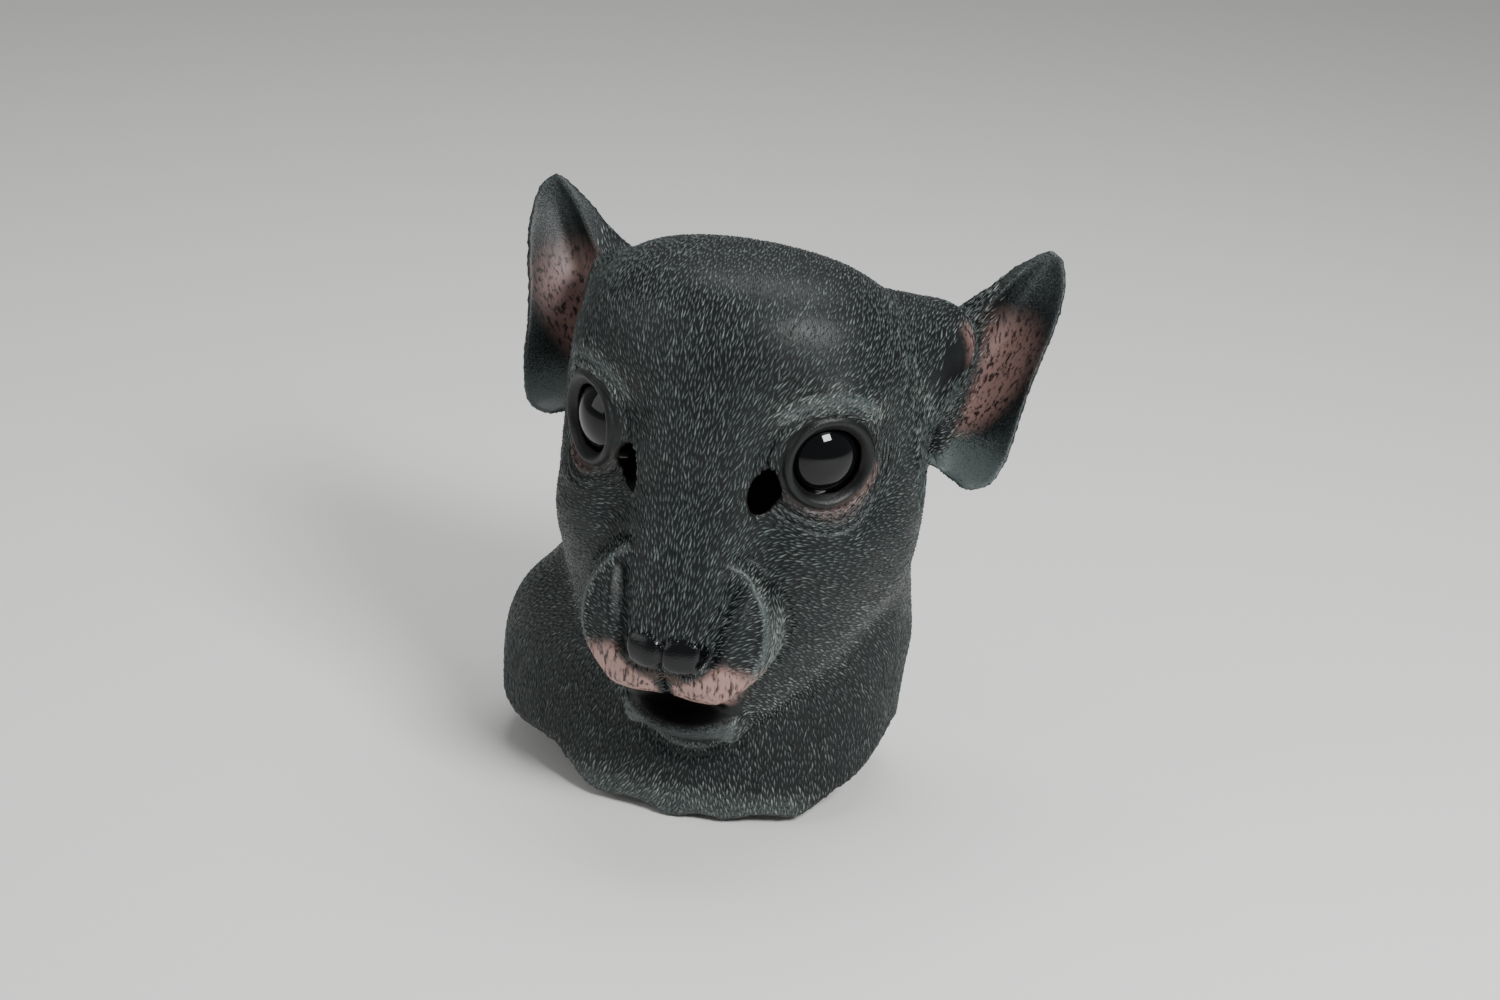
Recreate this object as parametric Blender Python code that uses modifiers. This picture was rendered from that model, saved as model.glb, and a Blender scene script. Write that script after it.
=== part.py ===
"""Full-head latex costume mask of a rat: one hollow moulded skin with ears, and two glossy domed eyes.

The mask faces -Y and stands along +Z. The origin is inside the crown, where the wearer's head meets the latex.
Run it with: blender --background --python part.py
"""

from math import cos, pi, radians, sin
from typing import NamedTuple

import bpy
import numpy as np
from mathutils import Matrix, Vector

# Driving dimensions, in metres.
WALL = 0.0028
HEAD_WIDTH = 0.217
HEAD_DEPTH = 0.193
HEAD_HEIGHT = 0.322
NECK_WIDTH = 0.250
NECK_DEPTH = 0.180
BIB_SHIFT = 0.0225
BIB_WAVE = 0.0015
BRIDGE_WIDTH = 0.078
BRIDGE_REACH = 0.068
BRIDGE_FLANK = 0.030
MUZZLE_WIDTH = 0.117
MUZZLE_REACH = 0.060
MUZZLE_HEIGHT = 0.087
MUZZLE_FLANK = 0.020
FACE_TAIL = 0.050
EYE_RADIUS = 0.027
EYE_SPACING = 0.135
EYE_SETBACK = 0.0168
EYE_BACK_DEPTH = 0.021
EYE_TURN = radians(41)
LID_WIDTH = 0.011
LID_RADIUS = 0.0252
LID_LIFT = 0.003
PEEPHOLE_WIDTH = 0.017
PEEPHOLE_HEIGHT = 0.024
PEEPHOLE_SPACING = 0.084
PEEPHOLE_AHEAD = 0.025
PEEPHOLE_DROP = 0.017
MOUTH_WIDTH = 0.058
MOUTH_GAP = 0.017
MOUTH_DEPTH = 0.040
MOUTH_AHEAD = 0.034
MOUTH_TILT = radians(12)
EAR_LENGTH = 0.110
EAR_WIDTH = 0.062
EAR_CUP_DEPTH = 0.024
EAR_SHEET = 0.0032
SEAT_GAP = 0.0003

# Levels and planes that the forms hang on, worked out from the sizes above.
CROWN_TOP = WALL
RIM_FRONT = CROWN_TOP - HEAD_HEIGHT
EYE_LEVEL = CROWN_TOP - 0.311 * HEAD_HEIGHT
FACE_PLANE = -0.249 * HEAD_DEPTH
MUZZLE_LEVEL = CROWN_TOP - 0.606 * HEAD_HEIGHT
MOUTH_LEVEL = CROWN_TOP - 0.795 * HEAD_HEIGHT

# How finely the soft form is gathered before it is cast: grid size and the faces that each skin keeps.
FORM_GRID = 0.0030
CAVITY_GRID = 0.0040
EAR_GRID = 0.0012
EAR_FACES = 1150
OUTER_FACES = 4700
INNER_FACES = 2150
BROAD_PASSES = 22
CRISP_PASSES = 5


class HeadSection(NamedTuple):
    """One level section. Height is a share of HEAD_HEIGHT above the front of the rim.

    Half width is a share of the form's width; front, widest and back are places ahead of the origin, as
    shares of its depth. Power shapes the front: 2 is an ellipse, less is a wedge.
    """

    height: float
    half_width: float
    front: float
    widest: float
    back: float
    power: float
    shift: float


HEAD_SECTIONS = (
    HeadSection(0.108, 0.060, 0.300, 0.230, 0.120, 2.0, 0.0),
    HeadSection(0.122, 0.110, 0.360, 0.190, 0.060, 2.0, 0.0),
    HeadSection(0.152, 0.185, 0.400, 0.160, -0.040, 2.0, 0.0),
    HeadSection(0.190, 0.245, 0.420, 0.140, -0.100, 2.0, 0.0),
    HeadSection(0.276, 0.350, 0.440, 0.080, -0.220, 1.9, 0.0),
    HeadSection(0.354, 0.440, 0.460, 0.010, -0.380, 1.8, 0.0),
    HeadSection(0.410, 0.480, 0.465, 0.000, -0.480, 1.7, 0.0),
    HeadSection(0.472, 0.500, 0.455, 0.000, -0.540, 1.65, 0.0),
    HeadSection(0.550, 0.505, 0.430, 0.000, -0.570, 1.5, 0.0),
    HeadSection(0.627, 0.500, 0.420, 0.000, -0.578, 1.4, 0.0),
    HeadSection(0.690, 0.495, 0.415, 0.000, -0.565, 1.4, 0.0),
    HeadSection(0.752, 0.481, 0.415, 0.000, -0.530, 1.6, 0.0),
    HeadSection(0.829, 0.456, 0.405, 0.000, -0.451, 1.85, 0.0),
    HeadSection(0.891, 0.415, 0.375, 0.000, -0.358, 2.0, 0.0),
    HeadSection(0.938, 0.360, 0.335, 0.000, -0.255, 2.1, 0.0),
    HeadSection(0.969, 0.290, 0.280, 0.000, -0.165, 2.0, 0.0),
    HeadSection(0.984, 0.222, 0.230, 0.000, -0.115, 2.0, 0.0),
    HeadSection(0.996, 0.120, 0.130, 0.000, -0.065, 2.0, 0.0),
)

NECK_SECTIONS = (
    HeadSection(-0.090, 0.487, 0.384, -0.08, -0.661, 2.1, 1.00),
    HeadSection(0.000, 0.487, 0.361, -0.08, -0.639, 2.1, 1.00),
    HeadSection(0.043, 0.491, 0.339, -0.08, -0.622, 2.1, 1.00),
    HeadSection(0.099, 0.496, 0.311, -0.08, -0.600, 2.1, 1.00),
    HeadSection(0.161, 0.500, 0.283, -0.08, -0.572, 2.1, 0.95),
    HeadSection(0.208, 0.495, 0.267, -0.08, -0.550, 2.1, 0.85),
    HeadSection(0.261, 0.485, 0.261, -0.08, -0.533, 2.1, 0.60),
    HeadSection(0.311, 0.450, 0.256, -0.08, -0.528, 2.1, 0.30),
    HeadSection(0.394, 0.409, 0.256, -0.08, -0.544, 2.1, 0.00),
    HeadSection(0.500, 0.390, 0.211, -0.08, -0.567, 2.1, 0.00),
)


class FaceSection(NamedTuple):
    """One level section of the bridge or the muzzle: its height, half width and how far it stands ahead."""

    height: float
    half_width: float
    ahead: float
    power: float


# Heights are shares of HEAD_HEIGHT above the rim, widths of BRIDGE_WIDTH, ahead of BRIDGE_REACH.
BRIDGE_SECTIONS = (
    FaceSection(0.290, 0.070, 0.72, 2.0),
    FaceSection(0.300, 0.140, 0.80, 2.0),
    FaceSection(0.317, 0.244, 0.92, 2.0),
    FaceSection(0.342, 0.308, 0.985, 2.2),
    FaceSection(0.373, 0.333, 0.985, 2.3),
    FaceSection(0.416, 0.359, 0.91, 2.4),
    FaceSection(0.472, 0.397, 0.81, 2.5),
    FaceSection(0.534, 0.436, 0.71, 2.6),
    FaceSection(0.596, 0.474, 0.62, 2.6),
    FaceSection(0.658, 0.500, 0.56, 2.6),
    FaceSection(0.720, 0.487, 0.54, 2.4),
    FaceSection(0.798, 0.436, 0.47, 2.3),
    FaceSection(0.876, 0.385, 0.32, 2.2),
)

# Heights are shares of MUZZLE_HEIGHT above the muzzle's middle, widths of MUZZLE_WIDTH, ahead of MUZZLE_REACH.
MUZZLE_SECTIONS = (
    FaceSection(-0.510, 0.205, 0.80, 2.0),
    FaceSection(-0.437, 0.342, 0.93, 2.2),
    FaceSection(-0.333, 0.436, 1.00, 2.3),
    FaceSection(-0.207, 0.487, 1.00, 2.4),
    FaceSection(-0.057, 0.500, 0.98, 2.5),
    FaceSection(0.115, 0.487, 0.90, 2.5),
    FaceSection(0.264, 0.450, 0.79, 2.4),
    FaceSection(0.402, 0.380, 0.66, 2.2),
    FaceSection(0.510, 0.260, 0.55, 2.0),
)


class Lump(NamedTuple):
    """One soft mass: its middle and half sizes across, ahead of the face plane and up from the eye level.

    A broad one melts far into the head, a crisp one keeps its edges.
    """

    name: str
    broad: bool
    paired: bool
    middle: tuple
    halves: tuple
    pitch: float


# Shares of HEAD_WIDTH, HEAD_DEPTH and HEAD_HEIGHT.
LUMPS = (
    Lump("brow", True, True, (0.215, -0.140, 0.090), (0.220, 0.230, 0.090), -15.0),
    Lump("cheek", True, True, (0.230, -0.180, -0.190), (0.245, 0.290, 0.190), 0.0),
    Lump("ear_pedestal", True, True, (0.365, -0.460, 0.072), (0.165, 0.190, 0.150), 0.0),
    Lump("ear_saddle", True, True, (0.440, -0.555, 0.106), (0.130, 0.120, 0.098), 0.0),
    Lump("upper_lip", False, True, (0.095, 0.205, -0.385), (0.120, 0.110, 0.047), 0.0),
    Lump("nose", False, False, (0.000, 0.285, -0.345), (0.108, 0.068, 0.034), 0.0),
    Lump("lower_lip", False, False, (0.000, 0.070, -0.515), (0.175, 0.125, 0.050), 0.0),
)


class RimPoint(NamedTuple):
    """A place on the bib's edge: degrees round from the front by the mask's left, and height of HEAD_HEIGHT."""

    turn: float
    height: float


RIM_POINTS = (
    RimPoint(-180, 0.022),
    RimPoint(-150, 0.030),
    RimPoint(-120, 0.029),
    RimPoint(-90, 0.025),
    RimPoint(-75, 0.032),
    RimPoint(-60, 0.016),
    RimPoint(-45, -0.026),
    RimPoint(-30, -0.035),
    RimPoint(-15, -0.040),
    RimPoint(0, -0.046),
    RimPoint(15, -0.041),
    RimPoint(30, -0.037),
    RimPoint(45, -0.035),
    RimPoint(60, -0.026),
    RimPoint(70, -0.002),
    RimPoint(80, 0.022),
    RimPoint(90, 0.066),
    RimPoint(100, 0.088),
    RimPoint(110, 0.069),
    RimPoint(120, 0.053),
    RimPoint(135, 0.041),
    RimPoint(150, 0.029),
    RimPoint(180, 0.022),
)


class EarSection(NamedTuple):
    """One section across an ear, from its front rim to its rear rim. Lengths are shares of the ear's sizes."""

    along: float
    front_rim: float
    rear_rim: float
    cup: float
    front_wall: float


# Along is a share of EAR_LENGTH from the root's middle, the rims of EAR_WIDTH, cup and front wall of EAR_CUP_DEPTH.
EAR_SECTIONS = (
    EarSection(-0.26, 0.50, 0.84, 0.40, 0.10),
    EarSection(-0.18, 0.20, 1.00, 0.65, 0.25),
    EarSection(-0.06, -0.10, 1.02, 0.95, 0.50),
    EarSection(0.09, -0.16, 0.92, 1.10, 0.66),
    EarSection(0.27, -0.17, 0.76, 1.10, 0.56),
    EarSection(0.45, -0.16, 0.62, 1.00, 0.32),
    EarSection(0.65, -0.15, 0.49, 0.78, 0.18),
    EarSection(0.80, -0.14, 0.37, 0.55, 0.11),
    EarSection(0.92, -0.10, 0.22, 0.32, 0.06),
    EarSection(1.00, -0.05, 0.04, 0.10, 0.02),
)
# The root's middle: out as a share of HEAD_WIDTH, behind the face plane of HEAD_DEPTH, up of HEAD_HEIGHT.
EAR_ROOT = (0.455, -0.492, 0.034)
EAR_AXES = {-1: Vector((0.600, 0.425, 0.760)), 1: Vector((0.515, 0.475, 0.713))}
EAR_FACING = Vector((0.034, -0.843, 0.538))
EAR_STEPS_ALONG = 36
EAR_STEPS_ACROSS = 36


def clear_scene():
    for item in list(bpy.data.objects):
        bpy.data.objects.remove(item)


def new_collection(name):
    made = bpy.data.collections.new(name)
    bpy.context.scene.collection.children.link(made)
    return made


def new_object(name, points, faces, collection):
    """A mesh object from points and faces that a loft has worked out."""
    mesh = bpy.data.meshes.new(name)
    mesh.from_pydata([tuple(point) for point in points], [], faces)
    mesh.validate()
    made = bpy.data.objects.new(name, mesh)
    collection.objects.link(made)
    return made


def moved_to(made, collection):
    """The object that an operator has just added, kept in one collection only."""
    for owner in list(made.users_collection):
        owner.objects.unlink(made)
    collection.objects.link(made)
    return made


def frozen(source, name, collection):
    """A copy of an object with its modifiers turned into plain mesh."""
    graph = bpy.context.evaluated_depsgraph_get()
    mesh = bpy.data.meshes.new_from_object(source.evaluated_get(graph))
    mesh.transform(source.matrix_world)
    made = bpy.data.objects.new(name, mesh)
    collection.objects.link(made)
    return made


def smooth_rows(rows, count):
    """Rows of a table joined by a smooth curve through them, read at count even steps."""
    table = np.array(rows, float)
    padded = np.vstack([2 * table[0] - table[1], table, 2 * table[-1] - table[-2]])
    found = []
    for step in np.linspace(0, len(table) - 1, count):
        index = min(int(step), len(table) - 2)
        t = step - index
        a, b, c, d = padded[index : index + 4]
        found.append(
            0.5 * (2 * b + (c - a) * t + (2 * a - 5 * b + 4 * c - d) * t**2 + (3 * b - a - 3 * c + d) * t**3)
        )
    return np.array(found)


def rounded(value, power):
    """The sine or cosine of a superellipse of this power."""
    return (1 if value >= 0 else -1) * abs(value) ** (2 / power)


def level_ring(z, half_width, front, widest, back, power, shift, count=72):
    """Points of one level section, front first and round by the mask's left. Front to back are places ahead."""
    points = []
    for step in range(count):
        angle = 2 * pi * step / count
        ahead = cos(angle) > 0
        shape = power if ahead else 2.2
        reach = (front if ahead else 2 * widest - back) - widest
        x = half_width * rounded(sin(angle), shape)
        y = -(widest + reach * rounded(cos(angle), shape))
        points.append((x - shift, y, z))
    return points


def loft(rings, first_pole, last_pole):
    """Points and faces of a closed form through rings of equal count, with a pole at each end."""
    count = len(rings[0])
    points = [point for ring in rings for point in ring] + [first_pole, last_pole]
    first, last = len(points) - 2, len(points) - 1
    faces = []
    for row in range(len(rings) - 1):
        for step in range(count):
            following = (step + 1) % count
            lower, upper = row * count, (row + 1) * count
            faces.append((lower + step, lower + following, upper + following, upper + step))
    top = (len(rings) - 1) * count
    for step in range(count):
        following = (step + 1) % count
        faces.append((first, following, step))
        faces.append((last, top + step, top + following))
    return points, faces


def middle_of(ring, z):
    total = Vector((0, 0, 0))
    for point in ring:
        total += Vector(point)
    total /= len(ring)
    return Vector((total.x, total.y, z))


def make_head_form(name, sections, width, depth, collection, top=None):
    """A closed loft through level sections whose lengths are shares of a width and a depth."""
    rings = []
    for height, half_width, front, widest, back, power, shift in smooth_rows(sections, 3 * len(sections)):
        z = RIM_FRONT + height * HEAD_HEIGHT
        rings.append(
            level_ring(
                z, half_width * width, front * depth, widest * depth, back * depth, power, shift * BIB_SHIFT
            )
        )
    low, high = rings[0][0][2], rings[-1][0][2] if top is None else top
    points, faces = loft(rings, middle_of(rings[0], low), middle_of(rings[-1], high))
    return new_object(name, points, faces, collection)


def make_face_form(name, sections, base, height, width, reach, flank, collection):
    """The bridge or the muzzle: a closed loft that stands ahead of the face plane and runs back into the head."""
    rings = []
    for level, half_width, ahead, power in smooth_rows(sections, 3 * len(sections)):
        front = -FACE_PLANE + ahead * reach
        widest = front - flank * min(1.0, 2 * half_width)
        back = widest - FACE_TAIL
        rings.append(level_ring(base + level * height, half_width * width, front, widest, back, power, 0.0))
    points, faces = loft(rings, middle_of(rings[0], rings[0][0][2]), middle_of(rings[-1], rings[-1][0][2]))
    return new_object(name, points, faces, collection)


def add_ball(name, centre, halves, turn, collection):
    """An ellipsoid as a scaled and turned ball."""
    bpy.ops.mesh.primitive_uv_sphere_add(segments=40, ring_count=24, radius=1.0)
    made = bpy.context.object
    made.name = name
    made.data.transform(Matrix.Translation(centre) @ turn @ Matrix.Diagonal((*halves, 1.0)))
    return moved_to(made, collection)


def make_lumps(broad, collection):
    made = []
    scale = Vector((HEAD_WIDTH, -HEAD_DEPTH, HEAD_HEIGHT))
    base = Vector((0, FACE_PLANE, EYE_LEVEL))
    for lump in [row for row in LUMPS if row.broad == broad]:
        for side in (-1, 1) if lump.paired else (0,):
            offset = Vector(lump.middle) * scale
            offset.x *= side
            halves = [abs(share * size) for share, size in zip(lump.halves, scale)]
            turn = Matrix.Rotation(radians(lump.pitch), 4, "X")
            made.append(add_ball(f"{lump.name}_{side}", base + offset, halves, turn, collection))
    return made


def eye_axis(side):
    """The way an eye looks: forward and out to its side."""
    return Vector((side * sin(EYE_TURN), -cos(EYE_TURN), 0))


def eye_opening(side):
    """The middle of the ring that the lids make round an eye."""
    return Vector((side * EYE_SPACING / 2, FACE_PLANE, EYE_LEVEL))


def eye_centre(side):
    return eye_opening(side) - eye_axis(side) * EYE_SETBACK


def turn_to(axis):
    """A rotation that takes +Z to the axis and keeps +Y as near up as it can be."""
    return axis.to_track_quat("Z", "Y").to_matrix().to_4x4()


def make_lid(side, collection):
    """The raised ring of latex round an eye."""
    bpy.ops.mesh.primitive_torus_add(
        major_radius=LID_RADIUS,
        minor_radius=LID_WIDTH / 2,
        major_segments=48,
        minor_segments=16,
    )
    made = bpy.context.object
    place = eye_opening(side) + eye_axis(side) * LID_LIFT
    made.data.transform(Matrix.Translation(place) @ turn_to(eye_axis(side)))
    return moved_to(made, collection)


def join(objects, name, collection):
    """One object that holds the faces of all of them."""
    points, faces = [], []
    for item in objects:
        start = len(points)
        points += [vertex.co.copy() for vertex in item.data.vertices]
        faces += [[start + index for index in polygon.vertices] for polygon in item.data.polygons]
    return new_object(name, points, faces, collection)


def gathered(source, grid, passes, collection, name):
    """The forms melted into one surface on an even grid, then softened."""
    remesh = source.modifiers.new("gather", "REMESH")
    remesh.mode = "VOXEL"
    remesh.voxel_size = grid
    soften = source.modifiers.new("soften", "SMOOTH")
    soften.factor = 0.5
    soften.iterations = passes
    return frozen(source, name, collection)


def thinned(source, faces, collection, name):
    """The same surface with about this many triangles, kept where it curves."""
    triangles = sum(len(polygon.vertices) - 2 for polygon in source.data.polygons)
    fewer = source.modifiers.new("thin", "DECIMATE")
    fewer.ratio = min(1.0, faces / triangles)
    fewer.use_collapse_triangulate = True
    return frozen(source, name, collection)


def shrunk(source, depth, collection, name):
    """The surface moved inwards by a depth along its normals, and melted again so that it never crosses itself."""
    inward = source.modifiers.new("inward", "DISPLACE")
    inward.mid_level = 0.0
    inward.strength = -depth
    return gathered(source, CAVITY_GRID, 2, collection, name)


def cut(target, cutter, operation="DIFFERENCE"):
    """A Boolean kept on the target. Its cutter is a guide that the part leaves out."""
    step = target.modifiers.new(cutter.name, "BOOLEAN")
    step.operation = operation
    step.object = cutter
    step.solver = "EXACT"


def ear_frame(side):
    """The ear's root, and its directions along the ear, across it to the rear rim and back into the cup."""
    flip = Vector((side, 1, 1))
    out, behind, up = EAR_ROOT
    root = Vector((side * out * HEAD_WIDTH, FACE_PLANE - behind * HEAD_DEPTH, EYE_LEVEL + up * HEAD_HEIGHT))
    along = EAR_AXES[side].normalized()
    across = along.cross(EAR_FACING).normalized()
    back = along.cross(across)
    return root, along * flip, across * flip, back * flip


def ear_point(row, share):
    """(along, across, behind) of the ear's sheet, at a share of the way from the head to the rear rim.

    The first fifth is the outer front wall, which rises from the head to the front rim. The rest is the cup.
    """
    along, front_rim, rear_rim, cup, front_wall = row
    if share < 0.2:
        fall = (1 - share / 0.2) ** 1.3
        across = (front_rim - front_wall * fall) * EAR_WIDTH
        return along * EAR_LENGTH, across, 1.15 * front_wall * EAR_WIDTH * fall
    inner = (share - 0.2) / 0.8
    across = (front_rim + (rear_rim - front_rim) * inner**1.15) * EAR_WIDTH
    return along * EAR_LENGTH, across, EAR_CUP_DEPTH * cup * sin(pi * inner**0.75) ** 0.85


def make_ear(side, collection):
    """One ear: a cupped sheet with a rolled front wall, whose root runs into the head."""
    root, along, across, back = ear_frame(side)
    rows = smooth_rows(EAR_SECTIONS, EAR_STEPS_ALONG)
    points, faces = [], []
    for row in rows:
        for step in range(EAR_STEPS_ACROSS):
            a, b, c = ear_point(row, step / (EAR_STEPS_ACROSS - 1))
            points.append(root + along * a + across * b + back * c)
    for row in range(EAR_STEPS_ALONG - 1):
        for step in range(EAR_STEPS_ACROSS - 1):
            low = row * EAR_STEPS_ACROSS + step
            high = low + EAR_STEPS_ACROSS
            face = (low, low + 1, high + 1, high)
            faces.append(face if side < 0 else face[::-1])
    sheet = new_object(f"ear_sheet_{side}", points, faces, collection)
    wall = sheet.modifiers.new("wall", "SOLIDIFY")
    wall.thickness = EAR_SHEET
    wall.offset = 0.0
    wall.use_even_offset = False
    whole = gathered(sheet, EAR_GRID, 2, collection, f"ear_whole_{side}")
    return thinned(whole, EAR_FACES, collection, f"ear_{side}")


def rim_levels(count):
    """Heights of the bib's edge at even steps round from the front: the table's curve with a small wave on it."""
    curve = smooth_rows(RIM_POINTS, 8 * len(RIM_POINTS))
    levels = []
    for step in range(count):
        turn = 360 * step / count
        height = np.interp(turn if turn <= 180 else turn - 360, curve[:, 0], curve[:, 1])
        levels.append(RIM_FRONT + height * HEAD_HEIGHT + BIB_WAVE * sin(11 * radians(turn)))
    return levels


def make_rim_cutter(collection):
    """Everything below the bib's edge: a broad plug whose top is level outwards and follows the wavy rim round."""
    count, base = 120, RIM_FRONT - HEAD_HEIGHT / 2
    levels = rim_levels(count)
    rings = []
    for reach in (2.6, 2.6, 1.6, 1.3, 1.2, 1.1, 1.0, 0.92, 0.84, 0.76, 0.68, 0.6, 0.4, 0.15):
        radius = reach * NECK_WIDTH / 2
        ring = []
        for step in range(count):
            angle = 2 * pi * step / count
            ring.append((radius * sin(angle), -radius * cos(angle), levels[step] if rings else base))
        rings.append(ring)
    points, faces = loft(rings, (0, 0, base), (0, 0, sum(levels) / count))
    return new_object("rim_cutter", points, faces, collection)


def make_peephole(side, collection):
    """A leaf-shaped hole beside the eye's inner corner, which the wearer looks through."""
    centre = Vector((side * PEEPHOLE_SPACING / 2, FACE_PLANE - PEEPHOLE_AHEAD, EYE_LEVEL - PEEPHOLE_DROP))
    place = Matrix.Translation(centre) @ turn_to(Vector((side * 0.45, -1.0, 0.12)))
    count, steps = 20, (-PEEPHOLE_AHEAD, PEEPHOLE_AHEAD)
    rings = []
    for depth in steps:
        ring = []
        for step in range(count):
            angle = 2 * pi * step / count
            x = 0.5 * PEEPHOLE_WIDTH * (cos(angle) + 0.28 * side * sin(angle))
            ring.append(place @ Vector((x, 0.5 * PEEPHOLE_HEIGHT * sin(angle), depth)))
        rings.append(ring)
    points, faces = loft(rings, *[place @ Vector((0, 0, depth)) for depth in steps])
    return new_object(f"peephole_{side}", points, faces, collection)


def make_mouth(collection):
    """The mouth between the upper lips and the jaw: a pocket that the latex lines."""
    centre = Vector((0, FACE_PLANE - MOUTH_AHEAD, MOUTH_LEVEL))
    halves = (MOUTH_WIDTH / 2, MOUTH_DEPTH / 2, MOUTH_GAP / 2)
    return add_ball("mouth", centre, halves, Matrix.Rotation(MOUTH_TILT, 4, "X"), collection)


def make_back_cutter(side, collection):
    """Trims the back of an eye so that it ends just behind the latex."""
    half = 2 * EYE_RADIUS
    axis = eye_axis(side)
    bpy.ops.mesh.primitive_cube_add(size=2 * half)
    made = bpy.context.object
    made.name = f"eye_back_{side}"
    place = eye_centre(side) + axis * (EYE_RADIUS - EYE_BACK_DEPTH - half)
    made.data.transform(Matrix.Translation(place) @ turn_to(axis))
    return moved_to(made, collection)


def material(name, colour, roughness):
    made = bpy.data.materials.new(name)
    made.use_nodes = True
    surface = made.node_tree.nodes["Principled BSDF"]
    surface.inputs["Base Color"].default_value = (*colour, 1.0)
    surface.inputs["Roughness"].default_value = roughness
    surface.inputs["Metallic"].default_value = 0.0
    return made


def make_form(guides):
    """The mask's outer form: broad masses melted together, then the crisp ones, then the mouth pressed in."""
    broad = [
        make_head_form("head", HEAD_SECTIONS, HEAD_WIDTH, HEAD_DEPTH, guides, CROWN_TOP),
        make_head_form("neck", NECK_SECTIONS, NECK_WIDTH, NECK_DEPTH, guides),
        make_face_form(
            "bridge", BRIDGE_SECTIONS, RIM_FRONT, HEAD_HEIGHT, BRIDGE_WIDTH, BRIDGE_REACH, BRIDGE_FLANK, guides
        ),
    ]
    melted = gathered(join(broad + make_lumps(True, guides), "broad", guides), FORM_GRID, BROAD_PASSES, guides, "melted")
    crisp = [
        melted,
        make_face_form(
            "muzzle", MUZZLE_SECTIONS, MUZZLE_LEVEL, MUZZLE_HEIGHT, MUZZLE_WIDTH, MUZZLE_REACH, MUZZLE_FLANK, guides
        ),
    ]
    crisp += make_lumps(False, guides) + [make_lid(side, guides) for side in (-1, 1)]
    whole = gathered(join(crisp, "crisp", guides), FORM_GRID, CRISP_PASSES, guides, "whole")
    cut(whole, make_mouth(guides))
    return gathered(frozen(whole, "pressed", guides), FORM_GRID, 1, guides, "form")


def hide_guides(guides):
    for guide in guides.objects:
        guide.hide_render = True
        guide.display_type = "WIRE"


def main():
    clear_scene()
    part = new_collection("rat_mask")
    guides = new_collection("guides")
    form = make_form(guides)
    half_wall = shrunk(frozen(form, "form_a", guides), WALL / 2, guides, "half_wall")
    cavity = shrunk(frozen(form, "form_b", guides), WALL, guides, "cavity")
    outer = thinned(form, OUTER_FACES, guides, "outer")
    inner = thinned(cavity, INNER_FACES, guides, "inner")
    trimmer = thinned(half_wall, INNER_FACES, guides, "ear_trimmer")
    ears = []
    for side in (-1, 1):
        ear = make_ear(side, guides)
        cut(ear, trimmer)
        ears.append(frozen(ear, f"ear_trimmed_{side}", guides))
    skin = frozen(outer, "latex_skin", part)
    cut(skin, inner)
    for ear in ears:
        cut(skin, ear, "UNION")
    for side in (-1, 1):
        radius = EYE_RADIUS + SEAT_GAP
        cut(skin, add_ball(f"socket_{side}", eye_centre(side), (radius,) * 3, turn_to(eye_axis(side)), guides))
        cut(skin, make_peephole(side, guides))
    cut(skin, make_rim_cutter(guides))
    skin.data.materials.clear()
    skin.data.materials.append(material("dark_latex", (0.035, 0.042, 0.045), 0.55))
    for side, name in ((-1, "eye_right"), (1, "eye_left")):
        eye = add_ball(name, eye_centre(side), (EYE_RADIUS,) * 3, turn_to(eye_axis(side)), part)
        cut(eye, make_back_cutter(side, guides))
        eye.data.materials.append(material(name, (0.004, 0.005, 0.008), 0.08))
        eye.data.shade_smooth()
    hide_guides(guides)


if __name__ == "__main__":
    main()
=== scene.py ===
"""The looks of a full-head latex rat mask: sculpted skin, moulded fur, painted finish and glossy eyes.

Everything is in metres in the row frame: the mask looks along -Y, +Z is up and the origin lies on the
inner side of the crown. Sculpting and painting use millimetres: x across, f ahead of the face plane and
h up from the eye level.
"""

import logging
import math
from dataclasses import dataclass, field
from enum import Enum
from typing import Any

import bpy
import numpy as np
from mathutils import Matrix, Vector
from mathutils.bvhtree import BVHTree
from mathutils.kdtree import KDTree


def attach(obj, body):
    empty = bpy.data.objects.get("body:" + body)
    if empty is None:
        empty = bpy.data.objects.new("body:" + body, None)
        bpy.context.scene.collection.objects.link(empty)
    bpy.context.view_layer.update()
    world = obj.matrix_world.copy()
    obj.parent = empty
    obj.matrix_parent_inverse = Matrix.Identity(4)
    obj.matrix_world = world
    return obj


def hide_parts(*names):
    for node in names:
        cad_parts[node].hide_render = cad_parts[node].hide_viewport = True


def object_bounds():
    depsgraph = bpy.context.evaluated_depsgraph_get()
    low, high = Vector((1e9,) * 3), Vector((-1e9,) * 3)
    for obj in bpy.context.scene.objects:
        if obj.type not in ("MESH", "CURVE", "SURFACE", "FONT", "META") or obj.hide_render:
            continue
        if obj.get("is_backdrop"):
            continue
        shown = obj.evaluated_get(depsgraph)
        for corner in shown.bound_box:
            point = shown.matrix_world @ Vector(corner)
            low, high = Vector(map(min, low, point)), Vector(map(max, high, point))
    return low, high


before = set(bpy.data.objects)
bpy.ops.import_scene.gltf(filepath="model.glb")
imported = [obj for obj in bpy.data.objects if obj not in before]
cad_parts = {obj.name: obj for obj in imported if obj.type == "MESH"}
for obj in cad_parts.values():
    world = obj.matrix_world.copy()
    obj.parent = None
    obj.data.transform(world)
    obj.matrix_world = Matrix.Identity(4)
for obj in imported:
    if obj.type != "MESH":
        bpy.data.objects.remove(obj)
CAD_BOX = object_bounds()
LOG = logging.getLogger("rat_mask")

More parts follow.
